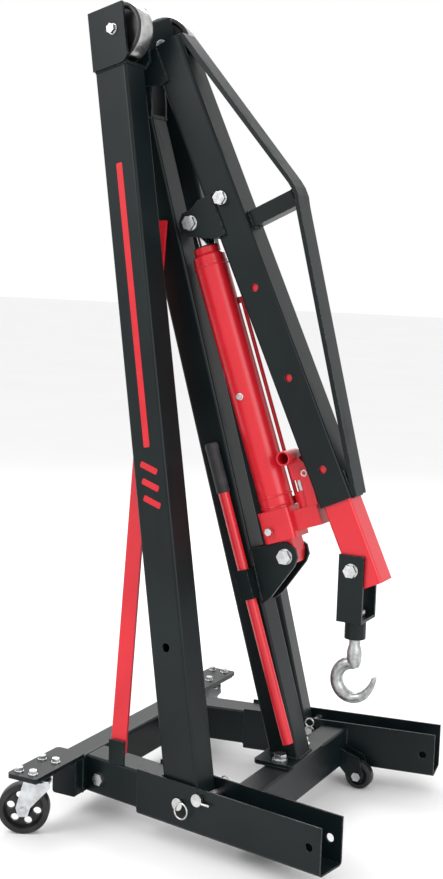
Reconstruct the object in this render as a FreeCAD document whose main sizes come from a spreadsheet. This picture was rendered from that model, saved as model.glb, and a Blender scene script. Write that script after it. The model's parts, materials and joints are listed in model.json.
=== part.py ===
import FreeCAD, Part
import math
import os

import Sketcher

# A folding engine hoist crane, drawn in its folded, upright storage position.
# X points forward (the way the legs and the boom work), Y across, Z up, in millimetres.
# The origin is on the floor, on the centre plane, in the middle of the folded footprint.

os.makedirs("parts", exist_ok=True)
doc = FreeCAD.newDocument("engine_hoist")
Vector = FreeCAD.Vector
Rotation = FreeCAD.Rotation
Placement = FreeCAD.Placement
X_AXIS = Vector(1, 0, 0)
Y_AXIS = Vector(0, 1, 0)
Z_AXIS = Vector(0, 0, 1)

# ---------------------------------------------------------------- driving sizes
SIZES = {
    # floor clearances and the side channels that hold the legs
    "channel_floor": 38, "channel_height": 92, "channel_gap": 67, "channel_wall": 3.5,
    "channel_front": 319, "channel_rear": 106, "channel_corner": 9, "splay_angle": 9.26,
    "pivot_forward": 17.4, "pivot_side": 234.2, "pivot_rise": 48, "front_hole": 294,
    "lock_forward": 46.5, "lock_rise": 20.5,
    # rear frame
    "beam_front": -225, "beam_depth": 56, "beam_height": 76, "beam_half_width": 268,
    "frame_wall": 4, "tube_corner": 6, "side_tube_width": 66, "side_tube_end": 58,
    "crossbeam_x": 122, "crossbeam_depth": 56, "crossbeam_height": 80, "crossbeam_low": 40,
    # folding legs
    "leg_width": 60, "leg_depth": 80, "leg_wall": 5, "leg_tube_length": 1430, "heel_radius": 41.5,
    "leg_lean": 12.5, "leg_roll": 4, "axle_reach": 1500, "axle_drop": 22,
    "fork_thickness": 6, "fork_gap": 62, "fork_back": 38, "fork_front": 52, "fork_reach": 1548,
    "leg_wheel_radius": 57.5, "leg_wheel_width": 44,
    # pins and bolts
    "pin_radius": 8, "pin_head_radius": 12, "fit_clearance": 0.05, "mount_clearance": 0.2,
    "axle_radius": 6, "ring_radius": 15, "ring_wire": 1.7, "clip_wire": 1.5,
    # mast
    "mast_width": 62, "mast_wall": 5, "mast_lean": 16.67, "mast_forward": 118, "mast_length": 1322,
    "base_plate": 8, "yoke_plate": 6, "boom_pivot_rise": 1412, "boom_pivot_forward": 25,
    "brace_width": 34, "brace_thickness": 6, "brace_foot_x": -150, "brace_foot_y": 232,
    "brace_top_rise": 1115,
    # boom, its truss and its extension
    "boom_angle": 65, "boom_size": 70, "boom_wall": 4, "boom_under": 41, "boom_tail": 30,
    "boom_front": 946, "hole_first": 306, "hole_pitch": 190, "ram_pin_along": 324,
    "ram_pin_drop": 4, "boom_plate": 6, "pivot_bolt_radius": 10,
    "strap_width": 50, "strap_thickness": 8, "strap_peak": 115, "strut_width": 33,
    "extension_size": 60, "extension_wall": 5, "extension_start": 271, "extension_end": 1119,
    "hook_bolt_along": 1078, "hook_bolt_rise": 58,
    # hook
    "hook_plate": 6, "hook_plate_width": 52, "yoke_gap": 63, "yoke_above": 30, "yoke_below": 103,
    "swivel_radius": 21, "swivel_height": 38, "shank_radius": 11, "hook_radius": 48,
    "hook_wire": 12.5, "hook_centre_drop": 227,
    # jack
    "ram_base_forward": 101, "ram_base_height": 535, "cylinder_radius": 34, "rod_radius": 19,
    "cylinder_start": 95, "cylinder_end": 608, "eye_radius": 20, "eye_width": 44,
    "ram_bolt_radius": 9, "ram_plate": 6,
    # pump handle
    "handle_radius": 11, "grip_radius": 14, "grip_length": 103, "handle_length": 620,
    "handle_foot": 36, "sleeve_rise": 334, "sleeve_height": 60, "handle_tilt": 1.7,
    # casters and front rollers
    "caster_x": -258, "caster_y": 352, "caster_yaw": 28, "caster_trail": 25,
    "caster_radius": 50, "caster_width": 28, "plate_thickness": 8,
    "roller_x": 190, "roller_y": 200, "roller_radius": 30, "roller_width": 22,
}


class Size:
    """A spreadsheet formula together with its present value."""

    def __init__(self, text, value):
        self.text = text
        self.value = value

    def _join(self, other, sign, swap=False):
        other = other if isinstance(other, Size) else Size(repr(float(other)), float(other))
        left, right = (other, self) if swap else (self, other)
        results = {"+": lambda a, b: a + b, "-": lambda a, b: a - b,
                   "*": lambda a, b: a * b, "/": lambda a, b: a / b}
        text = f"({left.text} {sign} {right.text})"
        return Size(text, results[sign](left.value, right.value))

    def __add__(self, other):
        return self._join(other, "+")

    def __radd__(self, other):
        return self._join(other, "+", swap=True)

    def __sub__(self, other):
        return self._join(other, "-")

    def __rsub__(self, other):
        return self._join(other, "-", swap=True)

    def __mul__(self, other):
        return self._join(other, "*")

    def __rmul__(self, other):
        return self._join(other, "*", swap=True)

    def __truediv__(self, other):
        return self._join(other, "/")

    def __neg__(self):
        return self * -1

    def __float__(self):
        return self.value


def as_size(number):
    return number if isinstance(number, Size) else Size(repr(float(number)), float(number))


def sine(angle):
    return Size(f"sin({angle.text})", math.sin(math.radians(angle.value)))


sheet = doc.addObject("Spreadsheet::Sheet", "Sizes")


class Sizes:
    pass


size = Sizes()
for row, (alias, number) in enumerate(SIZES.items(), start=1):
    sheet.set(f"A{row}", alias.replace("_", " "))
    sheet.set(f"B{row}", str(number))
    sheet.setAlias(f"B{row}", alias)
    setattr(size, alias, Size(f"Sizes.{alias}", float(number)))
doc.recompute()

# ---------------------------------------------------------------- drawing helpers
NODES = {}


def bind(item, prop, amount):
    item.setExpression(prop, as_size(amount).text)


def block(xs, ys, zs):
    """A box between two values on each axis."""
    item = doc.addObject("Part::Box", "block")
    for prop, axis, (low, high) in (("Length", "x", xs), ("Width", "y", ys), ("Height", "z", zs)):
        bind(item, prop, as_size(high) - as_size(low))
        bind(item, f".Placement.Base.{axis}", low)
    return item


TURNS = {"x": Rotation(Y_AXIS, 90), "y": Rotation(X_AXIS, -90), "z": Rotation()}


def rod(axis, radius, low, high, across=(0, 0)):
    """A cylinder along an axis from low to high; across gives its two other coordinates."""
    item = doc.addObject("Part::Cylinder", "rod")
    bind(item, "Radius", radius)
    bind(item, "Height", as_size(high) - as_size(low))
    item.Placement = Placement(Vector(), TURNS[axis])
    others = [letter for letter in "xyz" if letter != axis]
    bind(item, f".Placement.Base.{axis}", low)
    for letter, amount in zip(others, across):
        bind(item, f".Placement.Base.{letter}", amount)
    return item


def hexagon(axis, radius, low, high, across=(0, 0)):
    """A hexagonal bolt head or nut; radius reaches its corners."""
    item = doc.addObject("Part::Prism", "hexagon")
    item.Polygon = 6
    bind(item, "Circumradius", radius)
    bind(item, "Height", as_size(high) - as_size(low))
    item.Placement = Placement(Vector(), TURNS[axis])
    others = [letter for letter in "xyz" if letter != axis]
    bind(item, f".Placement.Base.{axis}", low)
    for letter, amount in zip(others, across):
        bind(item, f".Placement.Base.{letter}", amount)
    return item


def ring(axis, radius, wire, centre):
    item = doc.addObject("Part::Torus", "ring")
    bind(item, "Radius1", radius)
    bind(item, "Radius2", wire)
    item.Placement = Placement(Vector(), TURNS[axis])
    for letter, amount in zip("xyz", centre):
        bind(item, f".Placement.Base.{letter}", amount)
    return item


def fuse(*items):
    item = doc.addObject("Part::MultiFuse", "fuse")
    item.Shapes = list(items)
    item.Refine = True
    return item


def cut(base, *tools):
    item = doc.addObject("Part::Cut", "cut")
    item.Base = base
    item.Tool = tools[0] if len(tools) == 1 else fuse(*tools)
    return item


def common(first, second):
    item = doc.addObject("Part::Common", "common")
    item.Base = first
    item.Tool = second
    return item


def group(*items):
    """Separate solids kept together in one sub-part."""
    item = doc.addObject("Part::Compound", "group")
    item.Links = list(items)
    return item


def origin_plane(body, role):
    return next(plane for plane in body.Origin.OriginFeatures if plane.Role == role)


def draw_loop(sketch, points):
    """A closed polygon whose every corner is held by two named distances."""
    first = sketch.GeometryCount
    count = len(points)
    corners = [Vector(float(u), float(v), 0) for u, v in points]
    for index in range(count):
        line = Part.LineSegment(corners[index], corners[(index + 1) % count])
        sketch.addGeometry(line, False)
    for index in range(count):
        following = first + (index + 1) % count
        sketch.addConstraint(Sketcher.Constraint("Coincident", first + index, 2, following, 1))
    for index, pair in enumerate(points):
        for kind, amount in zip(("DistanceX", "DistanceY"), pair):
            amount = as_size(amount)
            number = sketch.addConstraint(
                Sketcher.Constraint(kind, -1, 1, first + index, 1, amount.value))
            sketch.setExpression(f"Constraints[{number}]", amount.text)


PLANES = {"x": ("YZ_Plane", 1), "y": ("XZ_Plane", -1), "z": ("XY_Plane", 1)}


def plate(axis, loops, low, high):
    """A PartDesign body: polygons in the plane across an axis, padded from low to high."""
    role, sign = PLANES[axis]
    low, high = as_size(low), as_size(high)
    body = doc.addObject("PartDesign::Body", "plate")
    sketch = body.newObject("Sketcher::SketchObject", "outline")
    sketch.AttachmentSupport = [(origin_plane(body, role), "")]
    sketch.MapMode = "FlatFace"
    start = low if sign == 1 else -high
    sketch.setExpression("AttachmentOffset.Base.z", start.text)
    for points in loops:
        draw_loop(sketch, points)
    pad = body.newObject("PartDesign::Pad", "pad")
    pad.Profile = sketch
    bind(pad, "Length", high - low)
    return body


def long_edges(shape, axis, wanted):
    """Names of the straight edges along an axis whose middle point is wanted."""
    direction = {"x": X_AXIS, "y": Y_AXIS, "z": Z_AXIS}[axis]
    names = []
    for index, edge in enumerate(shape.Edges, start=1):
        if edge.Curve.TypeId != "Part::GeomLine":
            continue
        along = abs(edge.tangentAt(edge.FirstParameter).dot(direction))
        if along > 0.999 and wanted(edge.CenterOfMass):
            names.append(f"Edge{index}")
    return names


def ease(body, kind, axis, amount, wanted=lambda point: True):
    """Round or bevel the edges of a body that run along an axis."""
    doc.recompute()
    base = body.Tip
    names = long_edges(base.Shape, axis, wanted)
    item = body.newObject(f"PartDesign::{kind}", kind.lower())
    item.Base = (base, names)
    bind(item, "Radius" if kind == "Fillet" else "Size", amount)
    body.Tip = item
    return body


def tube(axis, spans, wall, low, high, corner):
    """A rectangular tube along an axis, open at both ends, with rounded outer corners."""
    (u0, u1), (v0, v1) = [[as_size(value) for value in pair] for pair in spans]
    outer = [(u0, v0), (u1, v0), (u1, v1), (u0, v1)]
    inner = [(u0 + wall, v0 + wall), (u1 - wall, v0 + wall),
             (u1 - wall, v1 - wall), (u0 + wall, v1 - wall)]
    body = plate(axis, [outer, inner], low, high)
    letters = [letter for letter in "xyz" if letter != axis]
    limits = [(float(u0), float(u1)), (float(v0), float(v1))]

    def outside(point):
        places = [getattr(point, letter) for letter in letters]
        return all(min(abs(place - edge) for edge in pair) < 0.1
                   for place, pair in zip(places, limits))

    return ease(body, "Fillet", axis, corner, outside)


def turned(profile, axis="z"):
    """A PartDesign revolution of (radius, height) points about the vertical local axis."""
    body = doc.addObject("PartDesign::Body", "turned")
    sketch = body.newObject("Sketcher::SketchObject", "profile")
    sketch.AttachmentSupport = [(origin_plane(body, "XZ_Plane"), "")]
    sketch.MapMode = "FlatFace"
    draw_loop(sketch, profile)
    spin = body.newObject("PartDesign::Revolution", "revolution")
    spin.Profile = sketch
    spin.ReferenceAxis = (sketch, ["V_Axis"])
    spin.Angle = 360
    body.Placement = Placement(Vector(), TURNS[axis])
    return body


def node(label, item, placement=None):
    """Name a finished sub-part and put it in its place."""
    item.Label = label
    if placement is not None:
        item.Placement = placement.multiply(item.Placement)
    NODES[label] = item
    return item


def moved(item, placement):
    """Carry a primitive into another frame, keeping its own bound sizes."""
    doc.recompute([item])
    for letter in "xyz":
        item.setExpression(f".Placement.Base.{letter}", None)
    item.Placement = placement.multiply(item.Placement)
    return item


def turn(axis, degrees):
    return Placement(Vector(), Rotation(axis, float(degrees)))


def shift(x=0, y=0, z=0):
    return Placement(Vector(float(x), float(y), float(z)), Rotation())


def bolt(axis, radius, low, high, head, nut, across=(0, 0), head_side=1):
    """A hexagon bolt: shank from low to high, head past one end and nut past the other."""
    low, high = as_size(low), as_size(high)
    head_radius = radius * 1.7
    head_at, nut_at = (high, low - nut) if head_side == 1 else (low - head, high)
    return fuse(rod(axis, radius, low - nut, high + nut, across),
                hexagon(axis, head_radius, head_at, head_at + head, across),
                hexagon(axis, head_radius, nut_at, nut_at + nut, across))


# ---------------------------------------------------------------- shared frames
SIDES = {"near": -1, "far": 1}
pivot_height = size.channel_floor + size.pivot_rise
crossbeam_top = size.crossbeam_low + size.crossbeam_height
mast_foot = crossbeam_top + size.base_plate


def side_frame(side):
    """Along one channel, at the leg's pivot: x forward, y towards +Y, z up."""
    place = shift(size.pivot_forward, side * size.pivot_side, pivot_height)
    return place.multiply(turn(Z_AXIS, side * size.splay_angle))


def pin_frame(side):
    """The side frame rolled so that y runs along the leg's hinge pin."""
    return side_frame(side).multiply(turn(X_AXIS, side * size.leg_roll))


def leg_frame(side):
    """The leg's own frame: x along the leg from its pivot, z the top of the lowered leg."""
    return pin_frame(side).multiply(turn(Y_AXIS, -(90 + size.leg_lean)))


mast_frame = shift(size.mast_forward, 0, crossbeam_top).multiply(turn(Y_AXIS, -size.mast_lean))
boom_pivot = mast_frame.multVec(
    Vector(float(size.boom_pivot_forward), 0, float(size.boom_pivot_rise)))
boom_frame = Placement(boom_pivot, Rotation(Y_AXIS, float(size.boom_angle)))
ram_pin = boom_frame.multVec(Vector(float(size.ram_pin_along), 0, -float(size.ram_pin_drop)))
ram_base = Vector(float(size.ram_base_forward), 0, float(size.ram_base_height))
ram_length = (ram_pin - ram_base).Length
ram_lean = math.degrees(math.atan2(ram_base.x - ram_pin.x, ram_pin.z - ram_base.z))
ram_frame = Placement(ram_base, Rotation(Y_AXIS, -ram_lean))
hook_bolt = boom_frame.multVec(
    Vector(float(size.hook_bolt_along), 0, float(size.hook_bolt_rise)))
hook_frame = Placement(hook_bolt, Rotation())


# ---------------------------------------------------------------- side channels
channel_half = size.channel_gap / 2 + size.channel_wall
channel_low = -size.pivot_rise
channel_high = size.channel_height - size.pivot_rise
pin_hole = size.pin_radius + size.fit_clearance


def channel(side):
    """A U-channel, open above, with a rounded lower edge and bores along the hinge pin."""
    half, wall = channel_half, size.channel_wall
    low, high = channel_low, channel_high
    section = [(-half, low), (half, low), (half, high), (half - wall, high),
               (half - wall, low + wall), (wall - half, low + wall), (wall - half, high),
               (-half, high)]
    body = plate("x", [section], -size.channel_rear, size.channel_front)
    floor = float(low)
    ease(body, "Fillet", "x", size.channel_corner, lambda point: abs(point.z - floor) < 0.1)
    reach = half * 1.5
    bores = fuse(
        rod("y", pin_hole, -reach, reach),
        rod("y", pin_hole, -reach, reach, (size.lock_forward, size.lock_rise)),
        rod("y", size.pin_radius + size.mount_clearance, -reach, reach, (size.front_hole, 0)))
    bores.Placement = turn(X_AXIS, side * size.leg_roll)
    return cut(body, bores)


for name, side in SIDES.items():
    node(f"channel_{name}", channel(side), side_frame(side))

# ---------------------------------------------------------------- rear beam and side tubes
beam_back = size.beam_front - size.beam_depth
beam_low = size.channel_floor + (size.channel_height - size.beam_height) / 2 + 2
beam_top = beam_low + size.beam_height


def rear_beam():
    half = size.beam_half_width
    shell = tube("y", [(beam_back, size.beam_front), (beam_low, beam_top)], size.frame_wall,
                 -half, half, size.tube_corner)
    inner = size.frame_wall / 2
    caps = [block((beam_back + inner, size.beam_front - inner),
                  (end, end + size.frame_wall), (beam_low + inner, beam_top - inner))
            for end in (-half, half - size.frame_wall)]
    return fuse(shell, *caps)


def side_tube(side):
    half = size.side_tube_width / 2
    body = tube("x", [(-half, half), (beam_low - pivot_height, beam_top - pivot_height)],
                size.frame_wall, size.beam_front * 1.2, -size.side_tube_end, size.tube_corner)
    body.Placement = side_frame(side)
    behind = block((size.beam_front - 300, size.beam_front), (-600, 600), (0, 300))
    return cut(body, behind)


node("rear_beam", rear_beam())
for name, side in SIDES.items():
    node(f"side_tube_{name}", side_tube(side))

# ---------------------------------------------------------------- crossbeam and mast foot


def crossbeam():
    half = size.crossbeam_depth / 2
    reach = size.pivot_side + 80
    beam = tube("y", [(size.crossbeam_x - half, size.crossbeam_x + half),
                      (size.crossbeam_low, crossbeam_top)], size.frame_wall,
                -reach, reach, size.tube_corner)
    trims = []
    for side in SIDES.values():
        inner_face = -side * channel_half
        outer_end = side * 200
        low, high = (inner_face, outer_end) if side == 1 else (outer_end, inner_face)
        trims.append(moved(block((-150, 400), (low, high), (-150, 150)), side_frame(side)))
    return cut(beam, *trims)


base_bolt_y = size.mast_width / 2 + 22
base_half = base_bolt_y + 24


def mast_base():
    """The foot plate on the crossbeam with a gusset each side of the mast."""
    back, front = size.crossbeam_x - 52, size.crossbeam_x + 34
    corners = [(back, -base_half), (front, -base_half), (front, base_half), (back, base_half)]
    foot = plate("z", [corners], crossbeam_top, mast_foot)
    ease(foot, "Fillet", "z", 8)
    holes = [rod("z", size.pin_radius + size.fit_clearance, crossbeam_top - 10, mast_foot + 10,
                 (size.mast_forward, side * base_bolt_y)) for side in SIDES.values()]
    return cut(foot, *holes)


def base_bolts():
    """Two bolts that hold the foot plate: shank, washer and hexagon head."""
    bolts = []
    for side in SIDES.values():
        across = (size.mast_forward, side * base_bolt_y)
        bolts.append(fuse(
            rod("z", size.pin_radius, crossbeam_top + 0.2, mast_foot + 2, across),
            rod("z", size.pin_radius * 2, mast_foot, mast_foot + 3, across),
            hexagon("z", size.pin_radius * 1.7, mast_foot + 3, mast_foot + 13, across)))
    return bolts


node("crossbeam", crossbeam())
node("mast_base", mast_base())

# ---------------------------------------------------------------- mast, yoke and braces
mast_half = size.mast_width / 2
ear_radius = 30


def mast():
    body = tube("z", [(-mast_half, mast_half), (-mast_half, mast_half)], size.mast_wall,
                -60, size.mast_length, size.tube_corner)
    body.Placement = mast_frame
    below = block((-300, 600), (-300, 300), (-200, mast_foot))
    return cut(body, below)


def mast_yoke():
    """A cap on the mast with two ears that carry the boom's pivot bolt."""
    top = size.mast_length
    rise, forward = size.boom_pivot_rise, size.boom_pivot_forward
    outline = [(-mast_half, top), (mast_half, top), (mast_half + 8, top + 30),
               (forward + ear_radius - 6, rise), (forward + 14, rise + ear_radius - 4),
               (forward - 14, rise + ear_radius - 4), (forward - ear_radius, rise)]
    inner = mast_half - size.yoke_plate
    ears = []
    for low, high in ((inner, mast_half), (-mast_half, -inner)):
        ears.append(plate("y", [outline], low, high))
    cap = block((-mast_half, mast_half), (-mast_half, mast_half), (top, top + size.yoke_plate))
    bore = rod("y", size.pivot_bolt_radius + size.fit_clearance, -mast_half - 5, mast_half + 5,
               (forward, rise))
    return cut(fuse(cap, *ears), bore)


def ram_bracket():
    """Two triangular plates on the mast's front face that carry the foot of the jack."""
    bolt_at = mast_frame.inverse().multVec(ram_base)
    x, z = bolt_at.x, bolt_at.z
    outline = [(mast_half, z - 84), (x - 50, z - 74), (x + 16, z - 22), (x + 26, z - 8),
               (x + 26, z + 12), (x + 10, z + 28), (x - 10, z + 30), (mast_half, z + 27)]
    plates = []
    for low in (mast_half - size.ram_plate, -mast_half):
        bore = rod("y", size.ram_bolt_radius + size.fit_clearance, low - 5,
                   low + size.ram_plate + 5, (x, z))
        plates.append(cut(plate("y", [outline], low, low + size.ram_plate), bore))
    return group(*plates)


brace_outer = mast_half + size.brace_thickness + 1


def brace_line():
    """Where the brace starts on the near side tube and ends on the mast."""
    side = SIDES["near"]
    foot = Vector(float(size.brace_foot_x), side * float(size.brace_foot_y), float(beam_top) + 20)
    head = mast_frame.multVec(
        Vector(0, side * float(brace_outer), float(size.brace_top_rise)))
    return foot, head


def brace():
    foot, head = brace_line()
    along = head - foot
    bar = block((-size.brace_width / 2, size.brace_width / 2),
                (-size.brace_thickness / 2, size.brace_thickness / 2), (0, along.Length))
    return moved(bar, Placement(foot, Rotation(X_AXIS, Y_AXIS, along, "ZXY")))


def brace_lugs():
    """Flat tabs on the side tube and on the mast that the brace bolts to."""
    side = SIDES["near"]
    foot, head = brace_line()
    low, high = foot.y - 9.1, foot.y - 3.1
    foot_lug = block((foot.x - 17, foot.x + 17), (low, high), (beam_top, beam_top + 48))
    low, high = head.y + 3.3, side * float(mast_half)
    head_lug = block((head.x - 14, head.x + 14), (low, high), (head.z - 34, head.z - 4))
    return group(foot_lug, head_lug)


node("mast", mast())
node("mast_yoke", mast_yoke(), mast_frame)
node("ram_bracket", ram_bracket(), mast_frame)
node("brace_near", brace())
node("brace_lugs", brace_lugs())
pivot_reach = size.boom_size / 2 + size.boom_plate
node("boom_pivot_bolt", bolt("y", size.pivot_bolt_radius, -pivot_reach, pivot_reach, 8, 8,
                             head_side=-1), Placement(boom_pivot, Rotation()))
node("ram_base_bolt", bolt("y", size.ram_bolt_radius, -mast_half, mast_half, 9, 9, head_side=-1),
     Placement(ram_base, Rotation()))

# ---------------------------------------------------------------- legs


def leg_tube():
    """A square tube with a rounded heel, the hinge bore and the hole for the lock pin."""
    half_width, half_depth = size.leg_width / 2, size.leg_depth / 2
    body = tube("x", [(-half_width, half_width), (-half_depth, half_depth)], size.leg_wall,
                -size.heel_radius, size.leg_tube_length, size.tube_corner)
    limit = fuse(rod("y", size.heel_radius, -half_width - 5, half_width + 5),
                 block((0, size.leg_tube_length + 10), (-half_width - 5, half_width + 5),
                       (-half_depth - 5, half_depth + 5)))
    bores = [rod("y", pin_hole, -half_width - 5, half_width + 5),
             rod("y", size.pin_radius + 1, -half_width - 5, half_width + 5, (size.front_hole, 1.3))]
    return cut(common(body, limit), *bores)


def leg_fork():
    """A U-bracket on the leg's end that holds the wheel, with one corner of each arm cut off."""
    inner = size.fork_gap / 2
    outer = inner + size.fork_thickness
    start, end = size.leg_tube_length, size.fork_reach
    corner = 12
    outline = [(start + corner, -size.fork_front), (end, -size.fork_front), (end, size.fork_back),
               (start, size.fork_back), (start, corner - size.fork_front)]
    arms = [plate("y", [outline], low, low + size.fork_thickness) for low in (inner, -outer)]
    root = block((start, start + size.fork_thickness), (-inner, inner),
                 (corner - size.fork_front, size.fork_back))
    bore = rod("y", size.axle_radius + size.fit_clearance, -outer - 5, outer + 5,
               (size.axle_reach, -size.axle_drop))
    return cut(fuse(root, *arms), bore)


def wheel(radius, width, hub_width, bore, rim, hub):
    """A wheel about the local z axis: hub, thin web and heavy rim."""
    half, hub_half, web = width / 2, hub_width / 2, width / 5
    profile = [(bore, -hub_half), (hub, -hub_half), (hub, -web), (rim, -web), (rim, -half),
               (radius - 3, -half), (radius, 3 - half), (radius, half - 3), (radius - 3, half),
               (rim, half), (rim, web), (hub, web), (hub, hub_half), (bore, hub_half)]
    return turned(profile, "y")


hub_gap = 0.5
fork_outer = size.fork_gap / 2 + size.fork_thickness
axle_place = shift(size.axle_reach, 0, -size.axle_drop)
for name, side in SIDES.items():
    frame = leg_frame(side)
    node(f"leg_tube_{name}", leg_tube(), frame)
    node(f"leg_fork_{name}", leg_fork(), frame)
    node(f"leg_axle_{name}", bolt("y", size.axle_radius, -fork_outer, fork_outer, 8, 4,
                                  head_side=side), frame.multiply(axle_place))
    node(f"leg_wheel_{name}",
         wheel(size.leg_wheel_radius, size.leg_wheel_width, size.fork_gap - 2 * hub_gap,
               size.axle_radius + size.fit_clearance, size.leg_wheel_radius - 12, 17),
         frame.multiply(axle_place))

# ---------------------------------------------------------------- hinge pins and lock pins


def hinge_pin(side):
    """The pin that a leg turns on, with a head outside and a pull ring on the head."""
    head = channel_half + 1.5
    parts = [rod("y", size.pin_radius, -channel_half - 4, channel_half + 4),
             rod("y", size.pin_head_radius, head, head + 6),
             rod("y", size.pin_head_radius - 1, -head - 4, -head)]
    pin = fuse(*parts)
    loop = ring("y", size.ring_radius, size.ring_wire, (-12, head + 6 + size.ring_wire, -9))
    pair = group(pin, loop)
    pair.Placement = pin_frame(side).multiply(turn(Z_AXIS, 0 if side == 1 else 180))
    return pair


def lock_pin(side):
    """The storage lock pin: its two ends stand in the channel's walls, clear of the leg."""
    across = (size.lock_forward, size.lock_rise)
    near_wall = size.channel_gap / 2 + 0.7
    head = channel_half + 1 + (size.lock_rise + size.pin_head_radius) * sine(size.leg_roll)
    outer = fuse(rod("y", size.pin_radius, near_wall, head + 2, across),
                 rod("y", size.pin_head_radius, head, head + 7, across))
    handle = rod("x", 2.5, size.lock_forward - 30, size.lock_forward - 8,
                 (head + 4, size.lock_rise - 4))
    inner = rod("y", size.pin_radius, -(channel_half + 13), -near_wall, across)
    return group(fuse(outer, handle), inner)


node("leg_hinge_pins", group(*[hinge_pin(side) for side in SIDES.values()]))


def spring_clips():
    """A wire clip that straddles the inner end of each lock pin."""
    clips = []
    for side in SIDES.values():
        gap = size.pin_radius + 0.4 + size.clip_wire
        place = -(channel_half + 5)
        bow = ring("y", gap, size.clip_wire, (size.lock_forward, place, size.lock_rise))
        loop = ring("y", 9, size.clip_wire,
                    (size.lock_forward, place, size.lock_rise + gap + 9))
        clip = fuse(bow, loop)
        spin = Placement() if side == 1 else lock_turn
        clip.Placement = pin_frame(side).multiply(spin)
        clips.append(clip)
    return group(*clips)


lock_middle = Vector(float(size.lock_forward), 0, float(size.lock_rise))
lock_turn = Placement(Vector(), Rotation(Z_AXIS, 180), lock_middle)
for name, side in SIDES.items():
    spin = Placement() if side == 1 else lock_turn
    node(f"lock_pin_{name}", lock_pin(side), pin_frame(side).multiply(spin))
node("lock_pin_clips", spring_clips())

# ---------------------------------------------------------------- boom
boom_half = size.boom_size / 2
boom_top = size.boom_under + size.boom_size
boom_middle = size.boom_under + boom_half


def boom_tube():
    """The square main boom with four equally spaced adjusting holes and its pivot plates."""
    body = tube("x", [(-boom_half, boom_half), (size.boom_under, boom_top)], size.boom_wall,
                -size.boom_tail, size.boom_front, size.tube_corner)
    holes = [rod("y", pin_hole, -boom_half - 5, boom_half + 5,
                 (size.hole_first + step * size.hole_pitch, boom_middle)) for step in range(4)]
    return cut(body, *holes)


def boom_plates():
    """Side plates under the boom: two round its pivot and two round the jack's top bolt."""
    low = size.boom_under + 18
    pivot = [(-26, low), (46, low), (46, size.boom_under), (26, -10), (12, -25), (-12, -25),
             (-26, -10)]
    pin_x, pin_z = size.ram_pin_along, -size.ram_pin_drop
    lobe = [(pin_x - 34, low), (pin_x + 52, low), (pin_x + 52, size.boom_under - 4),
            (pin_x + 24, pin_z - 12), (pin_x + 10, pin_z - 25), (pin_x - 10, pin_z - 25),
            (pin_x - 25, pin_z - 10), (pin_x - 25, pin_z + 14), (pin_x - 34, pin_z + 30)]
    bores = [(pivot, size.pivot_bolt_radius + size.fit_clearance, (0, 0)),
             (lobe, size.ram_bolt_radius + size.fit_clearance, (pin_x, pin_z))]
    plates = []
    for side in SIDES.values():
        edges = (boom_half, boom_half + size.boom_plate)
        first, last = edges if side == 1 else (-edges[1], -edges[0])
        for outline, bore, across in bores:
            plates.append(cut(plate("y", [outline], first, last),
                              rod("y", bore, first - 5, last + 5, across)))
    return group(*plates)


def boom_truss():
    """A bent flat strap over a strut, which stiffens the boom from above."""
    thick = size.strap_thickness
    peak = boom_top + size.strap_peak
    start, end = -size.boom_tail, size.boom_front
    crest = size.ram_pin_along + 34
    outside = [(start, boom_top + thick), (crest - 24, peak - 3), (crest - 8, peak),
               (crest + 10, peak), (crest + 30, peak - 5), (end, boom_top + thick)]
    inside = [(end, boom_top), (end - 10, boom_top), (crest + 30, peak - thick - 6),
              (crest + 8, peak - thick), (crest - 6, peak - thick),
              (crest - 22, peak - thick - 3), (start + 12, boom_top), (start, boom_top)]
    strap = plate("y", [outside + inside], -size.strap_width / 2, size.strap_width / 2)
    strut = block((crest - 8, crest - 8 + size.strut_width),
                  (-size.strut_width / 2, size.strut_width / 2), (boom_top, peak - thick - 6))
    return group(strap, strut)


def boom_lock_bolt():
    """The bolt through the first adjusting hole, with its washers."""
    across = (size.hole_first, boom_middle)
    return fuse(bolt("y", size.pin_radius, -boom_half - 3, boom_half + 3, 9, 9, across, -1),
                rod("y", size.pin_radius * 1.7, -boom_half - 3, -boom_half, across),
                rod("y", size.pin_radius * 1.7, boom_half, boom_half + 3, across))


def boom_ram_bolt():
    """The jack's top bolt: the two ends that stand in the boom's side plates."""
    ends = []
    across = (size.ram_pin_along, -size.ram_pin_drop)
    for side in SIDES.values():
        inner, outer = boom_half + 0.5, boom_half + size.boom_plate
        head = [rod("y", size.ram_bolt_radius, side * inner if side == 1 else -outer - 2,
                    outer + 2 if side == 1 else -inner, across)]
        low, high = (outer, outer + 10) if side == 1 else (-outer - 10, -outer)
        head.append(hexagon("y", size.ram_bolt_radius * 1.6, low, high, across))
        ends.append(fuse(*head))
    return group(*ends)


node("boom_tube", boom_tube(), boom_frame)
node("boom_plates", boom_plates(), boom_frame)
node("boom_truss", boom_truss(), boom_frame)
node("boom_lock_bolt", boom_lock_bolt(), boom_frame)
node("boom_ram_bolt", boom_ram_bolt(), boom_frame)


def extension_tube():
    """The sliding inner boom, with a slot for the lock bolt that is open at its tail."""
    half = size.extension_size / 2
    body = tube("x", [(-half, half), (boom_middle - half, boom_middle + half)],
                size.extension_wall, size.extension_start, size.extension_end, size.tube_corner)
    slot_half = size.pin_radius + 1
    slot = fuse(block((size.extension_start - 5, size.hole_first), (-half - 5, half + 5),
                      (boom_middle - slot_half, boom_middle + slot_half)),
                rod("y", slot_half, -half - 5, half + 5, (size.hole_first, boom_middle)))
    bore = rod("y", pin_hole, -half - 5, half + 5, (size.hook_bolt_along, size.hook_bolt_rise))
    return cut(body, slot, bore)


node("extension_tube", extension_tube(), boom_frame)
yoke_outer = size.yoke_gap / 2 + size.hook_plate
node("hook_yoke_bolt", bolt("y", size.pin_radius, -yoke_outer, yoke_outer, 9, 9, head_side=-1),
     hook_frame)

# ---------------------------------------------------------------- hook


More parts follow.
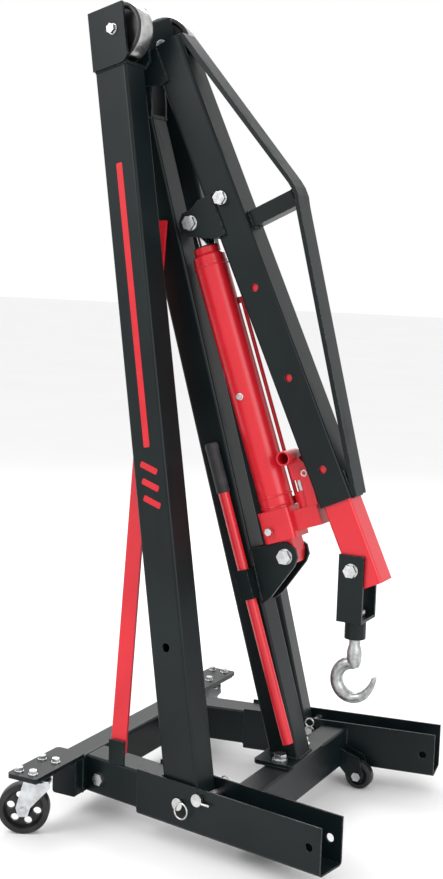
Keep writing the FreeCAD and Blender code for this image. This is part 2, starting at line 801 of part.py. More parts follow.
def hook_yoke():
    inner, outer = size.yoke_gap / 2, yoke_outer
    floor = -size.yoke_below
    outline = [(-outer, size.yoke_above), (-outer, floor), (outer, floor),
               (outer, size.yoke_above), (inner, size.yoke_above), (inner, floor + size.hook_plate),
               (-inner, floor + size.hook_plate), (-inner, size.yoke_above)]
    body = plate("x", [outline], -size.hook_plate_width / 2, size.hook_plate_width / 2)
    bores = [rod("y", pin_hole, -outer - 5, outer + 5),
             rod("z", size.shank_radius + size.fit_clearance, floor - 5, floor + 15)]
    return cut(body, *bores)


def swivel_block():
    top = -size.yoke_below
    return cut(rod("z", size.swivel_radius, top - size.swivel_height, top),
               rod("z", size.shank_radius + size.fit_clearance,
                   top - size.swivel_height - 5, top + 5))


def hook():
    """A forged hook: a shank with a nut above the yoke and a round bow with a tapered tip."""
    floor = -size.yoke_below
    centre = -size.hook_centre_drop
    bow_radius = size.hook_radius - size.hook_wire
    stem_foot = centre + bow_radius
    stem = [rod("z", size.shank_radius, stem_foot - 2, floor + size.hook_plate + 12),
            rod("z", 18, floor + size.hook_plate + 1, floor + size.hook_plate + 13),
            rod("z", 15, stem_foot - 6, floor - size.swivel_height - 1)]
    bow = ring("y", bow_radius, size.hook_wire, (0, 0, centre))
    mouth = plate("y", [[(4, centre + 4), (90, centre + 40), (90, centre + 90),
                         (14, centre + 90)]], -30, 30)
    return fuse(cut(bow, mouth), *stem)


node("hook_yoke", hook_yoke(), hook_frame)
node("swivel_block", swivel_block(), hook_frame)
node("hook", hook(), hook_frame)

# ---------------------------------------------------------------- long-ram jack


def ram_base_casting():
    """The jack's foot: a tongue round the lower bolt, the valve block and the pump body."""
    tongue_half = mast_half - size.ram_plate - 0.6
    start = size.cylinder_start
    block_half = 37
    valve = plate("z", [[(-34, -block_half), (36, -block_half), (36, block_half),
                         (-34, block_half)]], 32, start)
    ease(valve, "Fillet", "z", 10)
    tongue = plate("y", [[(-22, 40), (-22, 6), (-12, -18), (12, -18), (22, 6), (22, 40)]],
                   -tongue_half, tongue_half)
    pump = block((30, 92), (-20, 20), (44, 84))
    barrel = rod("z", 15, 60, 118, (62, 0))
    body = fuse(valve, tongue, pump, barrel)
    bores = [rod("y", size.ram_bolt_radius + 0.1, -60, 60),
             rod("z", 8 + size.fit_clearance, 62, 130, (62, 0)),
             rod("y", 5 + size.fit_clearance, -60, -18, (-12, 56))]
    return cut(body, *bores)


def ram_cap():
    end = size.cylinder_end
    profile = [(size.rod_radius + size.fit_clearance, end), (33, end), (33, end + 12),
               (29, end + 16), (27, end + 18), (27, end + 30),
               (size.rod_radius + size.fit_clearance, end + 30)]
    return turned(profile)


def ram_cylinder():
    inner = size.cylinder_radius - 8
    return cut(rod("z", size.cylinder_radius, size.cylinder_start, size.cylinder_end),
               rod("z", inner, size.cylinder_start + 12, size.cylinder_end + 5))


def ram_rod():
    """The chromed rod with a piston inside the cylinder and an eye on its top."""
    return fuse(rod("z", size.rod_radius, size.cylinder_start + 13, ram_length - 18),
                rod("z", size.cylinder_radius - 8.5, size.cylinder_start + 13,
                    size.cylinder_start + 41),
                rod("y", size.eye_radius, -size.eye_width / 2, size.eye_width / 2,
                    (0, ram_length)))


pipe_turn = turn(Z_AXIS, 30)
pipe_x = size.cylinder_radius + 8


def return_pipe():
    """The thin oil pipe up the front of the cylinder, with a union nut at each end."""
    low, high = 106, 520
    pipe = fuse(rod("z", 4, low, high + 6, (pipe_x, 0)),
                hexagon("z", 8, low - 10, low + 6, (pipe_x, 0)),
                rod("x", 7, size.cylinder_radius, pipe_x + 6, (0, high)))
    pipe.Placement = pipe_turn
    return pipe


def release_valve():
    return fuse(rod("y", 5, -42, -20, (-12, 56)),
                hexagon("y", 8, -50, -38.5, (-12, 56)))


plunger_x, lever_x, lever_z = 62, 84, 150
socket_x, socket_z = 60, 188


def pump_plunger():
    return fuse(rod("z", 8, 70, lever_z - 4, (plunger_x, 0)),
                rod("y", 9, -8, 8, (plunger_x, lever_z)))


def pump_lever():
    """The handle socket between two cheeks, which rock on a pin held by the link plates."""
    tube_end = 14
    socket = cut(rod("y", 14.5, -44, tube_end, (socket_x, socket_z)),
                 rod("y", size.handle_radius + 0.4, -50, tube_end - 6, (socket_x, socket_z)))
    outline = [(plunger_x - 9, lever_z - 7), (plunger_x, lever_z - 11), (lever_x, lever_z - 10),
               (lever_x + 8, lever_z - 4), (lever_x + 8, lever_z + 6), (socket_x + 13, socket_z),
               (socket_x - 8, socket_z - 8)]
    cheeks = [cut(plate("y", [outline], low, low + 4),
                  rod("y", 4 + size.fit_clearance, low - 3, low + 7, (lever_x, lever_z)),
                  rod("y", size.handle_radius + 1, low - 3, low + 7, (socket_x, socket_z)))
              for low in (-13.5, 9.5)]
    return fuse(socket, *cheeks)


def pump_links():
    """Two flat links on the pump body, and the pin across them that the lever rocks on."""
    outline = [(72, 84), (95, 84), (95, lever_z - 4), (90, lever_z + 9), (78, lever_z + 9),
               (73, lever_z - 4)]
    links = [plate("y", [outline], low, low + 5) for low in (-19, 14)]
    return fuse(*links, rod("y", 4, -21, 21, (lever_x, lever_z)))


node("ram_base", ram_base_casting(), ram_frame)
node("ram_cylinder", ram_cylinder(), ram_frame)
node("ram_cap", ram_cap(), ram_frame)
node("ram_rod", ram_rod(), ram_frame)
node("return_pipe", return_pipe(), ram_frame)
node("release_valve", release_valve(), ram_frame)
node("pump_plunger", pump_plunger(), ram_frame)

# ---------------------------------------------------------------- pump handle and its clip
handle_side = -(mast_half + size.handle_radius + 4)
sleeve_inner = size.handle_radius + 0.6
handle_frame = mast_frame.multiply(
    Placement(Vector(24, float(handle_side), float(size.handle_foot)),
              Rotation(Y_AXIS, -float(size.handle_tilt))))


def handle_clip():
    """A square sleeve welded to the mast, which holds the stored pump handle."""
    rise = size.sleeve_rise - size.handle_foot
    outer = size.handle_radius + 4
    shell = block((-outer, outer), (-outer, outer), (rise, rise + size.sleeve_height))
    return cut(shell, rod("z", sleeve_inner, rise - 5, rise + size.sleeve_height + 5))


node("handle_clip", handle_clip(), handle_frame)
node("handle_tube", cut(rod("z", size.handle_radius, 0, size.handle_length - 6),
                        rod("z", size.handle_radius - 2.5, -5, size.handle_length + 5)),
     handle_frame)
node("handle_grip", cut(rod("z", size.grip_radius, size.handle_length - size.grip_length,
                            size.handle_length),
                        rod("z", size.handle_radius, size.handle_length - size.grip_length - 5,
                            size.handle_length - 6)), handle_frame)

# ---------------------------------------------------------------- casters
caster_top = beam_top
stem_top = caster_top - 5


def caster_plates():
    """A wide steel plate on each end of the rear beam, with a caster's own plate below it."""
    plates = []
    for side in SIDES.values():
        inner, outer = side * 240, side * 410
        back, front = size.caster_x - 31, size.caster_x + 37
        corners = [(back, inner), (front, inner), (front, outer), (back, outer)]
        wide = plate("z", [corners], caster_top, caster_top + size.plate_thickness)
        ease(wide, "Fillet", "z", 9)
        plates.append(wide)
        low, high = sorted((side * float(size.beam_half_width + 2), side * 402.0))
        plates.append(block((size.caster_x - 32, size.caster_x + 32), (low, high),
                            (stem_top, caster_top)))
        plates.append(rod("z", 24, stem_top - 8, stem_top, (size.caster_x, side * size.caster_y)))
    return group(*plates)


def plate_bolts():
    """Four hexagon bolts in each caster plate."""
    bolts = []
    for side in SIDES.values():
        for dx in (-16, 16):
            for dy in (-37.5, 37.5):
                across = (size.caster_x + dx, side * size.caster_y + dy)
                top = caster_top + size.plate_thickness
                bolts.append(fuse(rod("z", 9, top, top + 2, across),
                                  hexagon("z", 8, top + 2, top + 9, across)))
    return bolts


def caster_fork():
    """A pressed fork on a swivel stem, with the wheel's axle bolt through its arms."""
    inner = size.caster_width / 2 + 2.5
    outer = inner + 3.5
    axle_z = size.caster_radius
    trail = -size.caster_trail
    top = stem_top - 9
    outline = [(-24, top), (24, top), (26, top - 14), (trail + 14, axle_z + 6),
               (trail + 9, axle_z - 12), (trail - 9, axle_z - 12), (trail - 14, axle_z + 6),
               (-28, top - 14)]
    arms = [cut(plate("y", [outline], low, high),
                rod("y", 5 + size.fit_clearance, low - 3, high + 3, (trail, axle_z)))
            for low, high in ((inner, outer), (-outer, -inner))]
    crown = block((-24, 24), (-outer, outer), (top - 3.5, top))
    race = rod("z", 22, top, top + 0.7)
    axle = bolt("y", 5, -outer, outer, 6, 6, (trail, axle_z), -1)
    return group(fuse(*arms, crown, race), axle)


for name, side in SIDES.items():
    swivel = shift(size.caster_x, side * size.caster_y, 0).multiply(
        turn(Z_AXIS, size.caster_yaw))
    node(f"caster_fork_{name}", caster_fork(), swivel)
    node(f"caster_wheel_{name}",
         wheel(size.caster_radius, size.caster_width, size.caster_width + 4,
               5 + size.fit_clearance, size.caster_radius - 12, 13),
         swivel.multiply(shift(-size.caster_trail, 0, size.caster_radius)))
node("caster_plates", caster_plates())

# ---------------------------------------------------------------- front rollers
roller_half = size.roller_width / 2


def roller_brackets():
    """Welded cheeks and an axle bolt for the small roller inside each channel."""
    parts = []
    front = size.crossbeam_x + size.crossbeam_depth / 2
    for side in SIDES.values():
        outline = [(front, 44), (size.roller_x - 12, 18), (size.roller_x + 12, 18),
                   (size.roller_x + 15, 34), (size.roller_x + 4, 70), (front, 84)]
        middle = side * size.roller_y
        for start in (roller_half + 1, -roller_half - 5):
            cheek = plate("y", [outline], middle + start, middle + start + 4)
            parts.append(cut(cheek, rod("y", 6 + size.fit_clearance, middle + start - 3,
                                        middle + start + 7,
                                        (size.roller_x, size.roller_radius))))
    return group(*parts)


node("roller_brackets", roller_brackets())
for name, side in SIDES.items():
    node(f"front_roller_{name}",
         wheel(size.roller_radius, size.roller_width, size.roller_width + 1.2,
               6 + size.fit_clearance, size.roller_radius - 9, 12),
         shift(size.roller_x, side * size.roller_y, size.roller_radius))
node("roller_axles", group(*[
    bolt("y", 6, side * size.roller_y - roller_half - 5, side * size.roller_y + roller_half + 5,
         6, 6, (size.roller_x, size.roller_radius), side) for side in SIDES.values()]))

# ---------------------------------------------------------------- frame bolts and pump lever


def tube_bolts():
    """A hexagon bolt in the outer face of each side tube, and one at each brace foot."""
    bolts = []
    for side in SIDES.values():
        outer = size.side_tube_width / 2
        low, high = (outer, outer + 9) if side == 1 else (-outer - 9, -outer)
        head = hexagon("y", 13, low, high, (-206, -3))
        bolts.append(moved(head, side_frame(side)))
    return bolts


node("frame_bolts", group(*base_bolts(), *plate_bolts(), *tube_bolts()))
node("pump_links", pump_links(), ram_frame)
node("pump_lever", pump_lever(), ram_frame)

# ---------------------------------------------------------------- build, check and write
doc.recompute()
faults = [item.Name for item in doc.Objects
          if any(word in item.State for word in ("Invalid", "Error"))]
for label, item in NODES.items():
    if item.Shape.isNull() or not item.Shape.isValid():
        faults.append(label)
if faults:
    raise RuntimeError("faulty objects: " + ", ".join(faults))
for label, item in NODES.items():
    item.Shape.exportStep(f"parts/{label}.step")


def report_point(label, point):
    print(f"{label}: {point.x:.4f} {point.y:.4f} {point.z:.4f}")


for name, side in SIDES.items():
    report_point(f"leg_pivot_{name}", leg_frame(side).Base)
    report_point(f"leg_axis_{name}", pin_frame(side).Rotation.multVec(Y_AXIS))
    report_point(f"leg_wheel_{name}", leg_frame(side).multiply(axle_place).Base)
    report_point(f"front_hole_{name}", pin_frame(side).multVec(
        Vector(float(size.front_hole), 0, 0)))
report_point("boom_pivot", boom_pivot)
report_point("boom_along", boom_frame.Rotation.multVec(X_AXIS))
report_point("ram_pin", ram_pin)
report_point("ram_base", ram_base)
report_point("ram_along", ram_frame.Rotation.multVec(Z_AXIS))
report_point("hook_bolt", hook_bolt)
report_point("handle_along", handle_frame.Rotation.multVec(Z_AXIS))
report_point("valve", ram_frame.multVec(Vector(-12, -40, 56)))
report_point("lever_pivot", ram_frame.multVec(Vector(lever_x, 0, lever_z)))
report_point("socket", ram_frame.multVec(Vector(socket_x, 0, socket_z)))
print(len(NODES), "sub-parts")
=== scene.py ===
# %% [markdown]
# # A folding engine hoist crane
# This lesson dresses a crane whose steel parts were already designed to size. The packed
# design is loaded as a fixed frame: its tubes, plates and bolts stay exactly where they are.
# Blender adds what a drawing leaves out, such as weld beads, turned wheels, a forged hook,
# washers and worn paint. Everything is in metres, X forward, Y across and Z up.

# %% Load the crane
import json
import math

import bmesh
import bpy
from mathutils import Matrix, Vector


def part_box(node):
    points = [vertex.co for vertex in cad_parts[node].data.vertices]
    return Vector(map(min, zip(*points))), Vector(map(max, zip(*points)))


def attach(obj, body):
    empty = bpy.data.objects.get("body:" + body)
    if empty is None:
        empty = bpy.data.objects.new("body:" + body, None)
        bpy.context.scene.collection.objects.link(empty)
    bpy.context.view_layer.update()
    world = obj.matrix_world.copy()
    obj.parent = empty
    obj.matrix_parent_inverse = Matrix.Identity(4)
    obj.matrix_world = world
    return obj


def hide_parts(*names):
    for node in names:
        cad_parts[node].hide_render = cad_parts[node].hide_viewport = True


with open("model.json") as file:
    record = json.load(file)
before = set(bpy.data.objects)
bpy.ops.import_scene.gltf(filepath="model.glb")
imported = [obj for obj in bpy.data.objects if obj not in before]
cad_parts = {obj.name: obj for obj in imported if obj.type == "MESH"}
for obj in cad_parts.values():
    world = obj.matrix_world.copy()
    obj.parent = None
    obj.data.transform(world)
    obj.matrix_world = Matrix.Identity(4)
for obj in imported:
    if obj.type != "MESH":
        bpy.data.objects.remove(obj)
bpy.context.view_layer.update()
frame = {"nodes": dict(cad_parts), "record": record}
JOINTS = {joint["name"]: joint for joint in frame["record"]["behaviour"]["joints"]}
SIDES = {"near": -1, "far": 1}
Y, Z = Vector((0, 1, 0)), Vector((0, 0, 1))

# %% [markdown]
# ## Local frames
# Most of the crane leans: the mast, the boom, the jack and both legs each have their own
# direction. Working in world coordinates would mean a sine and a cosine in every line. A
# 4 x 4 matrix does that once: it carries "along, across, up" of a part into the world. The
# directions come from the joints, so a piece made in the boom's frame sits on the boom.

# %% A frame from an origin and two directions


def axes(origin, along, across):
    """A matrix whose X runs along, Y across and Z up from both."""
    along, across = Vector(along).normalized(), Vector(across).normalized()
    grid = Matrix((along, across, along.cross(across))).transposed().to_4x4()
    grid.translation = Vector(origin)
    return grid


def millimetres(*values):
    return Vector([value / 1000 for value in values])


def at(grid, x, y, z):
    """A point given in millimetres in a part's own frame, as a frame of its own."""
    return grid @ Matrix.Translation(millimetres(x, y, z))


def quarter(axis):
    """Turn a frame so that its Z points along the named axis of the frame it is in."""
    turns = {"x": ("Y", 90), "y": ("X", -90), "-x": ("Y", -90), "-y": ("X", 90), "z": ("Z", 0),
             "-z": ("X", 180)}
    letter, degrees = turns[axis]
    return Matrix.Rotation(math.radians(degrees), 4, letter)


LEG_LEAN = math.radians(102.5)
MAST_LEAN = math.radians(16.67)
pin_frames, leg_frames = {}, {}
for side in SIDES:
    hinge = JOINTS[f"leg_deploy_{side}"]
    across = Vector(hinge["axis"])
    pin_frames[side] = axes(hinge["pos_m"], across.cross(Z), across)
    leg_frames[side] = pin_frames[side] @ Matrix.Rotation(-LEG_LEAN, 4, "Y")
boom = axes(JOINTS["boom_lift"]["pos_m"], JOINTS["extension_slide"]["axis"], Y)
jack_up = Vector(JOINTS["jack_extend"]["axis"])
jack = axes(JOINTS["jack_swing"]["pos_m"], Y.cross(jack_up), Y)
mast_foot = Vector((0.118, 0, 0.120))
mast = axes(mast_foot, (math.cos(MAST_LEAN), 0, math.sin(MAST_LEAN)), Y)
hook_pin = Matrix.Translation(JOINTS["hook_link_hang"]["pos_m"])
print("boom pivot at", [round(value, 3) for value in boom.translation])

# %% [markdown]
# ## Shader arithmetic
# A material is a little calculation: noise in, colour and roughness out. Wiring each Math
# node by hand hides the sum. `Wire` stands for one value in a material and overloads + - *,
# so a mask can be written as a formula, and `Finish.node` makes any other node.

# %% Wires and finishes


class Wire:
    """One output socket of a material; arithmetic on it makes Math nodes."""

    def __init__(self, finish, socket):
        self.finish = finish
        self.socket = socket

    def math(self, operation, other=0.0, clamp=False):
        return self.finish.node("Math", {0: self, 1: other}, operation=operation,
                                use_clamp=clamp)

    def __add__(self, other):
        return self.math("ADD", other)

    def __sub__(self, other):
        return self.math("SUBTRACT", other)

    def __mul__(self, other):
        return self.math("MULTIPLY", other)

    def __rsub__(self, other):
        return (self * -1.0) + other

    def above(self, low, high):
        """0 below low, 1 above high, and a smooth step between."""
        return self.finish.node("MapRange", {"Value": self, "From Min": low, "From Max": high},
                                interpolation_type="SMOOTHSTEP")


class Finish:
    """A material under construction."""

    def __init__(self, name, roughness=0.5, metallic=0.0, **constants):
        self.material = bpy.data.materials.new(name)
        self.material.use_nodes = True
        self.tree = self.material.node_tree
        self.shader = self.tree.nodes["Principled BSDF"]
        self.put(Roughness=roughness, Metallic=metallic, **constants)
        self.place = self.node("TexCoord", output="Object")

    def node(self, kind, inputs=None, output=0, **settings):
        made = self.tree.nodes.new("ShaderNode" + kind)
        for key, value in settings.items():
            setattr(made, key, value)
        for key, value in (inputs or {}).items():
            self.plug(made.inputs[key], value)
        return Wire(self, made.outputs[output])

    def plug(self, socket, value):
        if isinstance(value, Wire):
            self.tree.links.new(value.socket, socket)
        else:
            socket.default_value = value

    def put(self, **values):
        for key, value in values.items():
            self.plug(self.shader.inputs[key.replace("_", " ")], value)

    def noise(self, scale, detail=3.0, place=None):
        return self.node("TexNoise", {"Vector": place or self.place, "Scale": scale,
                                      "Detail": detail})

    def stretched(self, *scale):
        """Object coordinates multiplied along each axis, for streaks and brushing."""
        return self.node("Mapping", {"Vector": self.place, "Scale": scale})

    def blend(self, mask, first, second):
        return self.node("Mix", {0: mask, 6: first, 7: second}, output=2, data_type="RGBA")

    def edges(self, radius):
        """A mask that is bright where the surface turns sharply within the radius."""
        soft = self.node("Bevel", {"Radius": radius}, samples=6)
        true = self.node("NewGeometry", output="True Normal")
        facing = self.node("VectorMath", {0: soft, 1: true}, output="Value",
                           operation="DOT_PRODUCT")
        return (1.0 - facing), soft

    def relief(self, height, strength, distance, normal=None):
        inputs = {"Height": height, "Strength": strength, "Distance": distance}
        if normal is not None:
            inputs["Normal"] = normal
        self.put(Normal=self.node("Bump", inputs))


def shade(red, green, blue):
    return (red, green, blue, 1.0)


# %% [markdown]
# ## Powder coat
# The frame is powder coated: a thick baked skin with a faint orange peel. It is never one
# flat black. Dust lies in broad soft patches, handling polishes it, and the steel shows
# through at sharp corners. The corner mask compares the true normal with a bevelled one, so
# wear lands only where two faces meet.

# %% Painted steel


def painted(name, dark, light, bare, roughness, wear, coat, shine):
    finish = Finish(name, Coat_Weight=coat, Coat_Roughness=0.22, Specular_IOR_Level=shine)
    corner, soft = finish.edges(0.0012)
    cloud = finish.noise(5.0, 4.0)
    fleck = finish.noise(140.0, 3.0)
    chips = (corner.above(0.03, 0.16) * fleck.above(0.46, 0.6)) * wear
    scuff = finish.noise(3.0, 6.0, finish.stretched(9.0, 9.0, 1.4)).above(0.56, 0.75)
    colour = finish.blend(cloud.above(0.35, 0.7), dark, light)
    colour = finish.blend(scuff * 0.22, colour, light)
    finish.put(Base_Color=finish.blend(chips, colour, bare), Metallic=chips * 0.8,
               Roughness=((cloud * 0.16) + (scuff * 0.12)) + roughness)
    peel = finish.noise(420.0, 2.0)
    finish.relief(peel, 0.10, 0.0006, soft)
    return finish.material


black_coat = painted("black_powder_coat", shade(0.0020, 0.0052, 0.0058),
                     shade(0.0045, 0.0090, 0.0098), shade(0.30, 0.30, 0.29), 0.28, 0.50, 0.03, 0.22)
red_coat = painted("red_enamel", shade(0.54, 0.008, 0.018), shade(0.64, 0.013, 0.025),
                   shade(0.20, 0.012, 0.012), 0.24, 0.45, 0.20, 0.40)
print("painted finishes:", black_coat.name, red_coat.name)

# %% [markdown]
# ## Bare and plated metal
# Zinc plate is mottled and slightly blue; turned steel carries fine rings from the lathe;
# ground chrome is almost a mirror with faint drag lines; a forged hook is rough and grey.
# One recipe covers them, with the size of the mottling and the brushing as arguments.

# %% Metals


def metal(name, dark, light, roughness, mottle, brush, depth):
    finish = Finish(name, metallic=1.0)
    corner, soft = finish.edges(0.0006)
    patch = finish.noise(mottle, 5.0)
    line = finish.noise(60.0, 2.0, finish.stretched(*brush))
    grime = finish.noise(18.0, 5.0).above(0.55, 0.8)
    colour = finish.blend(patch.above(0.3, 0.7), dark, light)
    colour = finish.blend(grime * 0.35, colour, shade(0.09, 0.085, 0.08))
    colour = finish.blend(corner.above(0.04, 0.2) * 0.4, colour, shade(0.85, 0.85, 0.84))
    finish.put(Base_Color=colour, Roughness=((patch * 0.14) + (line * 0.10)) + roughness)
    finish.relief(line + patch, depth, 0.0004, soft)
    return finish.material


zinc = metal("bright_zinc", shade(0.52, 0.53, 0.53), shade(0.72, 0.73, 0.73), 0.18, 90.0,
             (6.0, 6.0, 6.0), 0.12)
fork_zinc = metal("pressed_zinc_sheet", shade(0.46, 0.48, 0.50), shade(0.68, 0.70, 0.72), 0.2,
                  55.0, (2.0, 2.0, 14.0), 0.14)
turned_steel = metal("turned_steel", shade(0.42, 0.42, 0.42), shade(0.66, 0.66, 0.65), 0.16,
                     40.0, (16.0, 1.5, 16.0), 0.16)
rod_chrome = metal("ground_chrome", shade(0.74, 0.75, 0.77), shade(0.82, 0.83, 0.85), 0.03,
                   20.0, (4.0, 4.0, 18.0), 0.04)
forged_steel = metal("forged_steel", shade(0.30, 0.31, 0.31), shade(0.52, 0.53, 0.53), 0.3,
                     120.0, (3.0, 3.0, 3.0), 0.45)
print("metals:", zinc.name, fork_zinc.name, turned_steel.name, rod_chrome.name,
      forged_steel.name)

# %% [markdown]
# ## Rubber, plastic and vinyl
# These don't reflect like metal: the colour sits in the body, and the surface scatters. The
# grip has a fine grain, the wheels are hard moulded black that has gone grey with floor
# dust, and the stripes are thin vinyl with a slight ripple.

# %% Moulded finishes


def moulded(name, dark, light, roughness, grain, depth):
    finish = Finish(name, Specular_IOR_Level=0.4)
    corner, soft = finish.edges(0.0008)
    dust = finish.noise(26.0, 5.0).above(0.45, 0.75)
    speck = finish.noise(grain, 4.0)
    colour = finish.blend(dust * 0.7, dark, light)
    colour = finish.blend(corner.above(0.04, 0.25) * 0.35, colour, light)
    finish.put(Base_Color=colour, Roughness=((speck * 0.2) + (dust * 0.1)) + roughness)
    finish.relief(speck, depth, 0.0005, soft)
    return finish.material


grip_rubber = moulded("grip_rubber", shade(0.020, 0.020, 0.022), shade(0.055, 0.055, 0.058),
                      0.5, 600.0, 0.35)
wheel_black = moulded("moulded_wheel", shade(0.008, 0.008, 0.009), shade(0.040, 0.040, 0.042),
                      0.28, 260.0, 0.2)
vinyl_red = moulded("red_vinyl", shade(0.54, 0.008, 0.018), shade(0.62, 0.014, 0.024), 0.26,
                    300.0, 0.05)
print("moulded finishes:", grip_rubber.name, wheel_black.name, vinyl_red.name)

# %% [markdown]
# ## Paint the steel that was drawn
# The record says which finish each drawn part has. The part's mesh isn't touched: only the
# material in its slots changes.

# %% Give each drawn part its finish
FINISHES = {"frame_black": black_coat, "red_paint": red_coat, "zinc": zinc,
            "pin_steel": turned_steel, "fork_zinc": fork_zinc, "rod_chrome": rod_chrome,
            "hook_steel": forged_steel, "wheel_steel": turned_steel,
            "wheel_black": wheel_black, "grip_rubber": grip_rubber}
for entry in frame["record"]["subparts"]:
    part = frame["nodes"][entry["node"]]
    part.data.materials.clear()
    part.data.materials.append(FINISHES[entry["material_slot"]])
print("painted", len(frame["nodes"]), "drawn parts")

# %% [markdown]
# ## Sweeping, spinning and keeping
# Three helpers make nearly every new piece. `sweep` carries a circle through a list of
# frames, as a wire or a weld bead needs. `spun` turns an outline about an axis, as a lathe
# does. `keep` closes a shape: it joins doubled points, points the faces outwards, smooths
# the curved ones and lets the piece ride on its body.

# %% Three modelling helpers


def sweep(shape, stations, radii, sides=12):
    """Carry a circle through the frames, its size changing on the way, and close both ends."""
    grow = Matrix.Diagonal((radii[0], radii[0], radii[0], 1))
    start = bmesh.ops.create_circle(shape, cap_ends=True, segments=sides, radius=1.0,
                                    matrix=stations[0] @ grow)
    rim = list({edge for vert in start["verts"] for edge in vert.link_edges})
    for before, after, old, new in zip(stations, stations[1:], radii, radii[1:]):
        out = bmesh.ops.extrude_edge_only(shape, edges=rim)["geom"]
        ring = [item for item in out if isinstance(item, bmesh.types.BMVert)]
        rim = [item for item in out if isinstance(item, bmesh.types.BMEdge)]
        ratio = new / old
        carry = after @ Matrix.Diagonal((ratio, ratio, ratio, 1)) @ before.inverted()
        bmesh.ops.transform(shape, matrix=carry, verts=ring)
    bmesh.ops.edgeloop_fill(shape, edges=rim)


def spun(shape, outline, grid, steps=64):
    """Turn an outline of (radius, height) pairs in millimetres about the frame's Z axis."""
    verts = [shape.verts.new(grid @ millimetres(radius, 0, height))
             for radius, height in outline]
    edges = [shape.edges.new(pair) for pair in zip(verts, verts[1:] + verts[:1])]
    bmesh.ops.spin(shape, geom=verts + edges, cent=grid.translation, axis=grid.col[2].xyz,
                   angle=math.tau, steps=steps, use_merge=True, use_duplicate=False)


def keep(name, shape, body, material, angle=35):
    """Turn a finished shape into a piece that rides on a body of the crane."""
    bmesh.ops.remove_doubles(shape, verts=shape.verts, dist=1e-6)
    bmesh.ops.recalc_face_normals(shape, faces=shape.faces)
    for face in shape.faces:
        face.smooth = True
    mesh = bpy.data.meshes.new(name)
    shape.to_mesh(mesh)
    shape.free()
    mesh.set_sharp_from_angle(angle=math.radians(angle))
    mesh.materials.append(material)
    piece = bpy.data.objects.new(name, mesh)
    bpy.context.scene.collection.objects.link(piece)
    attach(piece, body)
    print(f"made {name}: {len(mesh.polygons)} faces on {body}")
    return piece


# %% [markdown]
# ## Weld beads
# A stick weld is a row of overlapping ripples laid in a corner. The real bead is a triangle
# in section; a round rope half sunk in the corner reads the same and is one sweep. Its
# radius swells and shrinks at each ripple, which is what catches the light.

# %% A bead between two points


def bead(shape, grid, start, end, radius=3.0):
    """A rippled rope of weld from start to end, in millimetres in the given frame."""
    first, last = grid @ millimetres(*start), grid @ millimetres(*end)
    along = last - first
    across = along.orthogonal()
    base = axes(first, across, along.cross(across))
    count = max(4, round(along.length * 1000 / 2.2))
    stations, radii = [], []
    for index in range(count + 1):
        stations.append(Matrix.Translation(along * (index / count)) @ base)
        ripple = 1.0 if index % 2 else 0.82
        ripple *= 1 + 0.10 * math.sin(index * 1.7) + 0.06 * math.sin(index * 0.53)
        radii.append(radius / 1000 * (0.35 if index in (0, count) else ripple))
    sweep(shape, stations, radii, sides=8)


def loop_of_beads(shape, grid, corners, radius=3.0):
    for start, end in zip(corners, corners[1:] + corners[:1]):
        bead(shape, grid, start, end, radius)


# %% [markdown]
# ### Where the frame is welded
# The mast stands on its foot plate with a bead all round, and the cap with the two ears is
# welded on top. The crossbeam runs into both channels, the side tubes sit between the
# channel walls, and small parts such as the jack's bracket and the handle's sleeve are
# tacked to the mast. Beads are laid on the jack's bracket; the handle's sleeve gets none.

# %% Beads on the mast and its foot
shape = bmesh.new()
lean = math.tan(MAST_LEAN)
mast_half, foot_plate_top, mast_top = 31, 128, 1322
foot_x = 118 - 8 * lean
reach = mast_half / math.cos(MAST_LEAN)
ground = Matrix.Identity(4)
corners = [(foot_x - reach, -mast_half, foot_plate_top),
           (foot_x + reach, -mast_half, foot_plate_top),
           (foot_x + reach, mast_half, foot_plate_top),
           (foot_x - reach, mast_half, foot_plate_top)]
loop_of_beads(shape, ground, corners, 3.6)
corners = [(-mast_half, -mast_half, mast_top), (mast_half, -mast_half, mast_top),
           (mast_half, mast_half, mast_top), (-mast_half, mast_half, mast_top)]
loop_of_beads(shape, mast, corners, 2.8)
bolt = mast.inverted() @ jack.translation * 1000
for y in (-31, -25, 25, 31):
    bead(shape, mast, (mast_half, y, bolt.z - 82), (mast_half, y, bolt.z + 26), 2.4)
low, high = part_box("mast_base")
plate = [(low.x, low.y), (high.x, low.y), (high.x, high.y), (low.x, high.y)]
plate = [(x * 1000, y * 1000, low.z * 1000) for x, y in plate]
for start, end in ((plate[0], plate[1]), (plate[2], plate[3])):
    bead(shape, ground, (start[0] * 0.9 + 12, start[1], start[2] + 1),
         (end[0] * 0.9 + 12, end[1], end[2] + 1), 2.0)
keep("mast_welds", shape, "frame", black_coat)

# %% Beads on the channels and the rear frame
shape = bmesh.new()
for side, sign in SIDES.items():
    hinge = pin_frames[side]
    channel = axes(hinge.translation, hinge.col[0].xyz, Z.cross(hinge.col[0].xyz))
    inside = -sign * 37
    for x in (94, 150):
        local_x = (x / 1000 - channel.translation.x) / channel.col[0].x
        local_x = local_x * 1000 - inside * channel.col[1].x / channel.col[0].x
        bead(shape, channel, (local_x, inside, -42), (local_x, inside, 32), 3.0)
    for y in (-34, 34):
        bead(shape, channel, (-106, y, -38), (-106, y, 36), 2.6)
        bead(shape, channel, (-104, y, 38), (-60, y, 38), 2.4)
low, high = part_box("rear_beam")
for node in ("side_tube_near", "side_tube_far"):
    near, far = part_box(node)
    for y in (near.y + 0.026, far.y - 0.001):
        bead(shape, ground, (high.x * 1000, y * 1000 - 12, 50), (high.x * 1000, y * 1000 - 12, 122),
             2.6)
keep("frame_welds", shape, "frame", black_coat)

